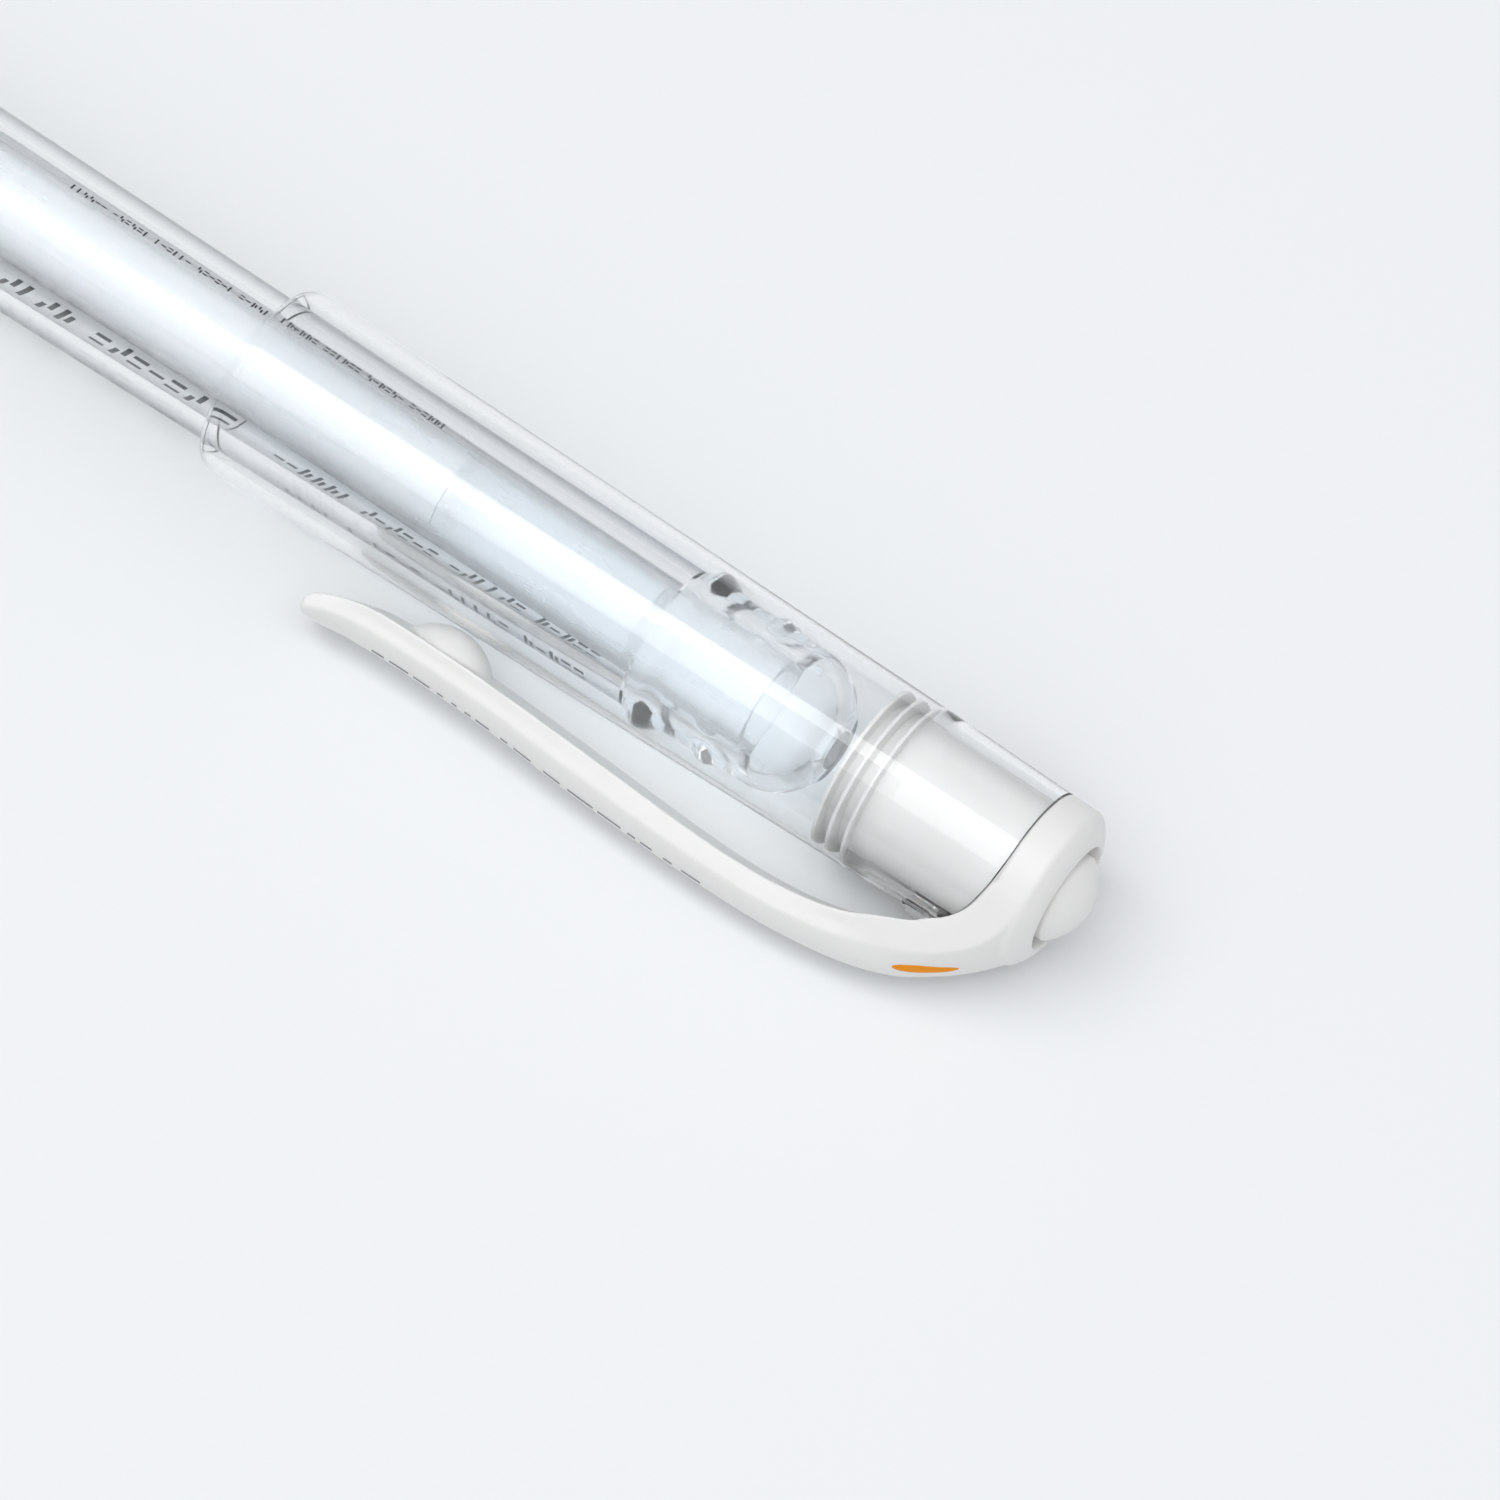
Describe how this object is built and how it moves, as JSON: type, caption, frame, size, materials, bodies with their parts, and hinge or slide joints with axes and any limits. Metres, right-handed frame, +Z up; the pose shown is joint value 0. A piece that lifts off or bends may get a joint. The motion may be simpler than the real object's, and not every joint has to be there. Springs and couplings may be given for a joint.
{
  "type": "gel ink pen",
  "caption": "Clear-barrelled gel ink pen with its clear clip cap posted on the tail, a white refill, a soft grip and a screw-on nose cone.",
  "frame": {"origin": "on the surface the pen lies on, under the middle of its bounding box", "axes": "+X along the pen from the writing tip to the cap's crown, +Z up, the clip on the -Y side and rolled down until it touches the surface"},
  "size_m": [0.1586, 0.0154, 0.0116],
  "materials": {
    "clear_plastic": "clear polished moulding",
    "white_plastic": "satin moulding",
    "grip_rubber": "soft translucent elastomer",
    "tube_plastic": "milky translucent tube",
    "white_ink": "opaque white gel ink",
    "follower_gel": "clear grease",
    "point_metal": "turned stainless steel",
    "ball_metal": "polished carbide",
    "seal_rubber": "matt soft seal"
  },
  "bodies": {
    "barrel": {"barrel_tube": "clear_plastic", "tail_plug": "clear_plastic", "grip_sleeve": "grip_rubber"},
    "refill": {"refill_tube": "tube_plastic", "ink_column": "white_ink", "ink_follower": "follower_gel", "tip_holder": "tube_plastic", "tip_cone": "point_metal", "tip_spring": "point_metal"},
    "nose": {"nose_cone": "clear_plastic"},
    "ball": {"writing_ball": "ball_metal"},
    "cap": {"cap_shell": "clear_plastic", "inner_cap": "white_plastic", "tip_seal": "seal_rubber", "cap_crown": "white_plastic", "crown_plug": "white_plastic"},
    "clip": {"clip_arm": "white_plastic"}
  },
  "joints": [
    {"name": "cap_pull", "type": "slide", "parent": "barrel", "child": "cap", "axis": [1, 0, 0], "range_m": [0, 0.045]},
    {"name": "clip_flex", "type": "hinge", "parent": "cap", "child": "clip", "pos_m": [0.07195, -0.00423, 0.00309], "axis": [0, -0.4067, 0.9135], "range_deg": [0, 8], "stiffness_Nm_per_rad": 2},
    {"name": "refill_advance", "type": "slide", "parent": "barrel", "child": "refill", "axis": [-1, 0, 0], "range_m": [0, 0.0036]},
    {"name": "cone_unscrew", "type": "hinge", "parent": "refill", "child": "nose", "pos_m": [-0.0662, 0.00194, 0.00584], "axis": [-1, 0, 0], "range_deg": [0, 1080]},
    {"name": "ball_roll", "type": "hinge", "parent": "refill", "child": "ball", "pos_m": [-0.0788, 0.00194, 0.00584], "axis": [0, 1, 0], "continuous": true}
  ],
  "couplings": [
    {"joint": "cone_unscrew", "follows": "refill_advance", "rad_per_m": 5236}
  ]
}
